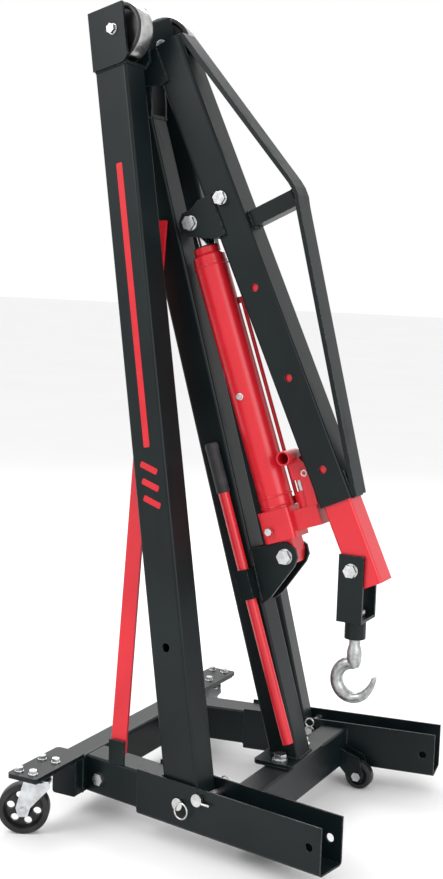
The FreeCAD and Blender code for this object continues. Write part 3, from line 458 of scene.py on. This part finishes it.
# %% Beads on the boom
boom_top, strut_crest = 111.5, 212
shape = bmesh.new()
for x in (-30, 946):
    bead(shape, boom, (x, -24, boom_top), (x, 24, boom_top), 2.6)
for y in (-25, 25):
    bead(shape, boom, (890, y, boom_top), (944, y, boom_top), 2.4)
    bead(shape, boom, (-28, y, boom_top), (20, y, boom_top), 2.4)
strut = [(350, -16.5), (383, -16.5), (383, 16.5), (350, 16.5)]
for height, thick in ((boom_top, 2.6), (strut_crest, 2.4)):
    loop_of_beads(shape, boom, [(x, y, height) for x, y in strut], thick)
for y in (-36, 36):
    bead(shape, boom, (-26, y * 1.03, 59), (46, y * 1.03, 59), 2.2)
    bead(shape, boom, (290, y * 1.03, 59), (376, y * 1.03, 59), 2.2)
keep("boom_welds", shape, "boom", black_coat)

# %% Beads on the legs
leg_end = 1430
for side in SIDES:
    shape = bmesh.new()
    corners = [(leg_end, -30, -40), (leg_end, 30, -40), (leg_end, 30, 38), (leg_end, -30, 38)]
    loop_of_beads(shape, leg_frames[side], corners, 2.6)
    for y in (-31, 31):
        bead(shape, leg_frames[side], (leg_end + 4, y, -38), (leg_end + 4, y, 36), 2.2)
    keep(f"leg_welds_{side}", shape, f"leg_{side}", black_coat)

# %% [markdown]
# ## Turned wheels
# Each leg ends in a wide wheel with shallow black sides and a tread worn bright by the
# floor. A wheel is the textbook lathe part, so its outline is spun once: from the bore out
# along one face, over the tread with rounded shoulders, and back along the other face. The
# bright tread is a second, thin ring on the first.

# %% Leg wheels


def wheel_outline(radius, width, hub, hub_width, bore, rim, web, groove=0.0):
    half, wide = width / 2, hub_width / 2
    side_in = [(bore, -wide), (hub - 1.5, -wide), (hub, 1.5 - wide), (hub + 2.5, -web),
               (rim - 5, -web * 0.7), (rim - 1.5, -half + 2), (rim, -half)]
    shoulder = [(radius - 4, -half), (radius - 1.4, 1.2 - half), (radius, 4 - half)]
    crown = [(radius, -2.5), (radius - groove, -1.2)] if groove else [(radius, -1)]
    left = side_in + shoulder + crown
    return left + [(r, -z) for r, z in reversed(left)]


for side in SIDES:
    spin = JOINTS[f"leg_wheel_spin_{side}"]
    hub = axes(spin["pos_m"], pin_frames[side].col[0].xyz, pin_frames[side].col[1].xyz)
    shape = bmesh.new()
    outline = wheel_outline(radius=57.1, width=44, hub=17, hub_width=60.6, bore=6.1, rim=50,
                            web=16, groove=0.7)
    spun(shape, outline, hub @ quarter("y"), 96)
    body = keep(f"turned_leg_wheel_{side}", shape, f"leg_roll_{side}", wheel_black)
    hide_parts(f"leg_wheel_{side}")
    shape = bmesh.new()
    spun(shape, [(56, -17), (57.2, -17), (57.4, -16), (57.4, 16), (57.2, 17), (56, 17)],
         hub @ quarter("y"), 96)
    keep(f"leg_wheel_tread_{side}", shape, f"leg_roll_{side}", turned_steel)

# %% [markdown]
# ## Casters
# The rear casters have hard black wheels with a ring of lightening holes and a bright hub.
# The web with its holes is cut with a Boolean modifier: a ring of six cylinders taken from
# the spun disc. The modifier's result is then kept as an ordinary mesh.

# %% Caster wheels


def carved(piece, cutter):
    """Cut one piece with another and keep the result as its mesh."""
    change = piece.modifiers.new("holes", "BOOLEAN")
    change.object = cutter
    change.solver = "EXACT"
    graph = bpy.context.evaluated_depsgraph_get()
    cut = bpy.data.meshes.new_from_object(piece.evaluated_get(graph))
    piece.modifiers.clear()
    piece.data = cut
    bpy.data.objects.remove(cutter)
    return piece


for side in SIDES:
    spin = JOINTS[f"caster_spin_{side}"]
    along = Vector(spin["axis"]).cross(Z)
    hub = axes(spin["pos_m"], along, spin["axis"]) @ quarter("y")
    shape = bmesh.new()
    outline = wheel_outline(radius=49.9, width=28, hub=14, hub_width=31.6, bore=5.1, rim=39,
                            web=4.5)
    spun(shape, outline, hub, 72)
    wheel = keep(f"moulded_caster_wheel_{side}", shape, f"caster_roll_{side}", wheel_black)
    holes = bmesh.new()
    for step in range(6):
        place = hub @ Matrix.Rotation(math.radians(60 * step + 12), 4, "Z")
        bmesh.ops.create_cone(holes, cap_ends=True, segments=20, radius1=0.0078,
                              radius2=0.0078, depth=0.06,
                              matrix=place @ Matrix.Translation((0.0262, 0, 0)))
    mesh = bpy.data.meshes.new("holes")
    holes.to_mesh(mesh)
    holes.free()
    cutter = bpy.data.objects.new("holes", mesh)
    bpy.context.scene.collection.objects.link(cutter)
    carved(wheel, cutter)
    wheel.data.set_sharp_from_angle(angle=math.radians(35))
    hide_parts(f"caster_wheel_{side}")
    shape = bmesh.new()
    for end in (1, -1):
        cap = [(5.1, end * 15.9), (10.5, end * 15.9), (11.5, end * 15.0), (11.5, end * 12)]
        spun(shape, cap + [(5.1, end * 12)], hub, 40)
    keep(f"caster_hub_{side}", shape, f"caster_roll_{side}", zinc)
    swivel = Matrix.Translation(JOINTS[f"caster_swivel_{side}"]["pos_m"])
    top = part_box(f"caster_fork_{side}")[1].z * 1000
    race = [(3, top - 100 - 1), (23, top - 100 - 1), (26, top - 103), (26, top - 106),
            (23, top - 107.5), (3, top - 107.5)]
    shape = bmesh.new()
    spun(shape, race, swivel, 48)
    keep(f"caster_race_{side}", shape, f"swivel_{side}", fork_zinc)

# %% [markdown]
# ## Front rollers
# Two small rollers under the crossbeam carry the folded crane when it is pushed about. They
# are the casters' shape again without the holes, so the same outline is spun smaller.

# %% Front rollers
for side, sign in SIDES.items():
    spin = JOINTS[f"front_roller_spin_{side}"]
    hub = Matrix.Translation(spin["pos_m"]) @ quarter("y")
    shape = bmesh.new()
    outline = wheel_outline(radius=29.9, width=22, hub=12, hub_width=23, bore=6.1, rim=21,
                            web=5)
    spun(shape, outline, hub, 56)
    roller = keep(f"moulded_front_roller_{side}", shape, f"front_roll_{side}", wheel_black)
    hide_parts(f"front_roller_{side}")

# %% [markdown]
# ## The forged hook
# A forged hook isn't a bent rod. It is thick at the bottom of the bow where the load sits,
# thin at the tip, and flattened by the die. A circle is swept along an arc while its radius
# changes, and the tip turns outwards a little. The shank, its collar and nut are spun.

# %% Hook
shape = bmesh.new()
eye = at(hook_pin, 0, 0, -227)
bow_radius, bow_wire, tip_wire = 35.3, 12.5, 5.0
stations, radii = [], []
for step in range(53):
    share = step / 52
    angle = math.radians(84 + 292 * share)
    drift = 1 + 0.30 * (max(0.0, share - 0.8) / 0.2) ** 2
    middle = millimetres(bow_radius * drift * math.cos(angle), 0,
                         bow_radius * drift * math.sin(angle))
    outward = Vector((math.cos(angle), 0, math.sin(angle)))
    stations.append(eye @ axes(middle, outward, Y))
    taper = (max(0.0, share - 0.5) / 0.5) ** 1.2
    radii.append((bow_wire - (bow_wire - tip_wire) * taper) / 1000)
sweep(shape, stations, radii, sides=24)
shank = [(0.5, 27), (11, 28), (14, 38), (14.8, 56), (13, 66), (10.9, 72), (10.9, 85), (0.5, 85)]
spun(shape, shank, eye, 36)
spun(shape, [(0.5, 84), (10.8, 84), (10.8, 141), (0.5, 141)], eye, 36)
hook = keep("forged_hook", shape, "hook_body", forged_steel, 50)
shape = bmesh.new()
bmesh.ops.create_cone(shape, cap_ends=True, segments=6, radius1=0.0178, radius2=0.0178,
                      depth=0.011, matrix=at(eye, 0, 0, 137.5))
edges = [edge for edge in shape.edges if edge.calc_length() > 0.012]
bmesh.ops.bevel(shape, geom=edges, offset=0.0008, affect="EDGES", segments=2, profile=0.5,
                material=-1)
keep("hook_nut", shape, "hook_body", zinc, 30)
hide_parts("hook")

# %% [markdown]
# ## Grip
# The stored pump handle ends in a plain push-on grip of dark rubber. It is turned: a small
# bead at its mouth, a straight body and a rounded end, so its outline is spun.

# %% Grip
lift = Vector(JOINTS["handle_lift"]["axis"])
tube_low, tube_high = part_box("handle_tube")
middle_y = (tube_low.y + tube_high.y) / 2
foot = Vector((tube_high.x - 0.011 * lift.z, middle_y, tube_low.z + 0.011 * abs(lift.x)))
handle = axes(foot, (lift.z, 0, -lift.x), Y)
outline = [(11.05, 517), (12.6, 517), (13.9, 518.5), (13.9, 522), (13.3, 523.5), (13.3, 606),
           (13.9, 608), (13.9, 612), (12.6, 617.5), (9, 619.6), (0.3, 619.9), (0.3, 614.2),
           (11.05, 614.2)]
shape = bmesh.new()
spun(shape, outline, handle, 40)
grip = keep("rubber_grip", shape, "handle", grip_rubber, 30)
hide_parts("handle_grip")

# %% [markdown]
# ## Washers
# Every big bolt bears on a washer, and the boom's lock bolt has a split one that stops it
# shaking loose. A washer is a flat ring, so it is spun; a split washer is a short helix,
# which is a sweep with a gap.

# %% Washers


def washer(shape, grid, bore, outside, thick, low=0.0):
    ring = [(bore, low), (outside - 0.5, low), (outside, low + 0.5), (outside, low + thick - 0.5),
            (outside - 0.5, low + thick), (bore, low + thick)]
    spun(shape, ring, grid, 40)


shape = bmesh.new()
for end in ("y", "-y"):
    washer(shape, boom @ quarter(end), 10.2, 17.6, 0.8, 40.6)
    washer(shape, jack @ quarter(end), 9.2, 16.0, 0.8, 30.6)
keep("pivot_washers", shape, "frame", zinc)
shape = bmesh.new()
lock = at(boom, 306, 0, 76)
for end in ("y", "-y"):
    ram_end = at(boom, 324, 0, -4) @ quarter(end)
    washer(shape, ram_end, 9.2, 15.2, 0.8, 40.6)
split = lock @ quarter("-y")
stations = []
for step in range(31):
    angle = math.radians(8 + 344 * step / 30)
    outward = Vector((math.cos(angle), math.sin(angle), 0))
    centre = outward * 0.0125 + Vector((0, 0, 0.0376 + 0.0010 * step / 30))
    stations.append(split @ axes(centre, outward, Z))
sweep(shape, stations, [0.0018] * 31, sides=8)
keep("boom_washers", shape, "boom", zinc)
for side in SIDES:
    shape = bmesh.new()
    wheel_pin = axes(JOINTS[f"leg_wheel_spin_{side}"]["pos_m"], pin_frames[side].col[0].xyz,
                     pin_frames[side].col[1].xyz)
    for end in ("y", "-y"):
        washer(shape, wheel_pin @ quarter(end), 6.2, 11.0, 0.8, 36.6)
    keep(f"leg_axle_washers_{side}", shape, f"leg_{side}", zinc)
shape = bmesh.new()
for end in ("y", "-y"):
    washer(shape, hook_pin @ quarter(end), 8.2, 14.2, 0.8, 37.1)
keep("hook_bolt_washers", shape, "extension", zinc)

# %% [markdown]
# ## Lock pins
# Each storage lock pin is drawn as its two ends. Its plain turned middle is a short
# cylinder, spun here so that it rides with the pin when it is pulled.

# %% Middles of the lock pins
for side in SIDES:
    shape = bmesh.new()
    pin = at(pin_frames[side], 46.5, 0, 20.5) @ quarter("y")
    spun(shape, [(0.2, -34.6), (7.95, -34.6), (7.95, 34.6), (0.2, 34.6)], pin, 32)
    keep(f"lock_pin_shank_{side}", shape, f"pin_{side}", turned_steel)

# %% [markdown]
# ## Jack details
# The jack has a red cylinder with a gland nut at the top, a wiper ring where the chromed
# rod comes out, a filler plug, and circlips on the lever's pin. They are small, but they
# are what makes a jack look like a working tool.

# %% Jack trim
shape = bmesh.new()
washer(shape, jack, 19.1, 24.5, 3.4, 637.9)
keep("rod_wiper", shape, "jack", grip_rubber)
shape = bmesh.new()
for height in (101, 121, 600):
    stations = []
    for step in range(73):
        angle = math.tau * step / 72
        outward = Vector((math.cos(angle), math.sin(angle), 0))
        centre = outward * 0.0338 + Vector((0, 0, height / 1000))
        stations.append(jack @ axes(centre, outward, Z))
    radii = [0.0022 * (1.0 if step % 2 else 0.8) for step in range(73)]
    sweep(shape, stations, radii, sides=8)
keep("cylinder_welds", shape, "jack", red_coat)
shape = bmesh.new()
plug = at(jack, 0, -33, 330) @ quarter("-y")
washer(shape, plug, 0.3, 7.5, 2.0, -0.5)
bmesh.ops.create_cone(shape, cap_ends=True, segments=6, radius1=0.0062, radius2=0.0058,
                      depth=0.005, matrix=plug @ Matrix.Translation((0, 0, 0.004)))
lever_pin = Matrix.Translation(JOINTS["lever_rock"]["pos_m"])
for end in ("y", "-y"):
    washer(shape, lever_pin @ quarter(end), 4.1, 7.0, 1.2, 19.1)
keep("jack_fittings", shape, "jack", zinc)

# %% [markdown]
# ## A plain stripe for the leg
# Such cranes carry a decal along the leg. Here it is a plain graphic: one long red bar and
# three short slanted ones, with no lettering. Each bar is a thin plate a third of a
# millimetre thick with bevelled corners, laid on the leg's outer face.

# %% Stripes
shape = bmesh.new()
near_leg = leg_frames["near"]
for centre, length, width, slant in ((960, 560, 15, 0), (640, 60, 12, 28), (607, 60, 12, 28),
                                     (574, 60, 12, 28)):
    place = at(near_leg, centre, -30.2, 0) @ Matrix.Rotation(math.radians(slant), 4, "Y")
    size = Matrix.Diagonal((length / 1000, 0.0003, width / 1000, 1))
    if slant:
        size = Matrix.Diagonal((width / 1000, 0.0003, 0.044, 1))
    bar = bmesh.ops.create_cube(shape, size=1.0, matrix=place @ size)
    upright = [edge for vert in bar["verts"] for edge in vert.link_edges
               if edge.calc_length() < 0.001]
    bmesh.ops.bevel(shape, geom=list(set(upright)), offset=0.003, affect="EDGES", segments=4,
                    profile=0.5, material=-1)
keep("leg_stripes", shape, "leg_near", vinyl_red, 20)

# %% [markdown]
# ## Floor, light and camera
# A pale floor and a pale room leave nothing to look at but the crane. Black paint shows
# only what it reflects, so the lights are large soft panels: one at the front left, one at
# the right and one behind on the left for the edges.

# %% Studio
shape = bmesh.new()
bmesh.ops.create_grid(shape, x_segments=1, y_segments=1, size=30.0)
floor_mesh = bpy.data.meshes.new("floor")
shape.to_mesh(floor_mesh)
shape.free()
floor = bpy.data.objects.new("floor", floor_mesh)
bpy.context.scene.collection.objects.link(floor)
floor_finish = Finish("pale_floor", roughness=0.75)
tint = floor_finish.noise(1.3, 3.0)
floor_finish.put(Base_Color=floor_finish.blend(tint, shade(0.88, 0.88, 0.88),
                                               shade(0.92, 0.92, 0.92)))
floor_mesh.materials.append(floor_finish.material)
room = bpy.data.worlds.new("pale_room")
room.use_nodes = True
room.node_tree.nodes["Background"].inputs["Color"].default_value = (1.0, 1.0, 1.0, 1)
room.node_tree.nodes["Background"].inputs["Strength"].default_value = 1.0
bpy.context.scene.world = room
bpy.context.scene.view_settings.view_transform = "Standard"
aim = Vector((0, 0, 0.85))
for name, place, size, power in (("key", (-1.9, -2.7, 2.9), 1.8, 60),
                                 ("fill", (2.9, -1.3, 1.7), 2.0, 40),
                                 ("rim", (-1.6, 2.6, 2.8), 1.6, 45)):
    panel = bpy.data.lights.new(name, "AREA")
    panel.energy, panel.size = power, size
    lamp = bpy.data.objects.new(name, panel)
    lamp.location = place
    lamp.rotation_mode = "QUATERNION"
    lamp.rotation_quaternion = (aim - Vector(place)).to_track_quat("-Z", "Y")
    bpy.context.scene.collection.objects.link(lamp)
print("studio ready")

# %% [markdown]
# ## Camera
# The camera stands a little above the middle of the crane, to its front right, and is
# rolled by under two degrees. Its three directions are worked out from the yaw, pitch and
# roll, then set as the columns of its matrix.

# %% Camera
yaw, pitch, roll = (math.radians(angle) for angle in (27.689, 7.3235, 1.849))
ahead = Vector((-math.sin(yaw) * math.cos(pitch), math.cos(yaw) * math.cos(pitch),
                -math.sin(pitch)))
level = ahead.cross(Z).normalized()
upright = level.cross(ahead)
right = level * math.cos(roll) + upright * math.sin(roll)
up = upright * math.cos(roll) - level * math.sin(roll)
lens = bpy.data.cameras.new("camera")
lens.lens, lens.sensor_width = 55.17, 36.0
camera = bpy.data.objects.new("camera", lens)
camera.rotation_mode = "QUATERNION"
camera.matrix_world = axes((1.1992, -2.4090, 1.1015), right, up)
bpy.context.scene.collection.objects.link(camera)
bpy.context.scene.camera = camera
lens.clip_start, lens.clip_end = 0.05, 100.0
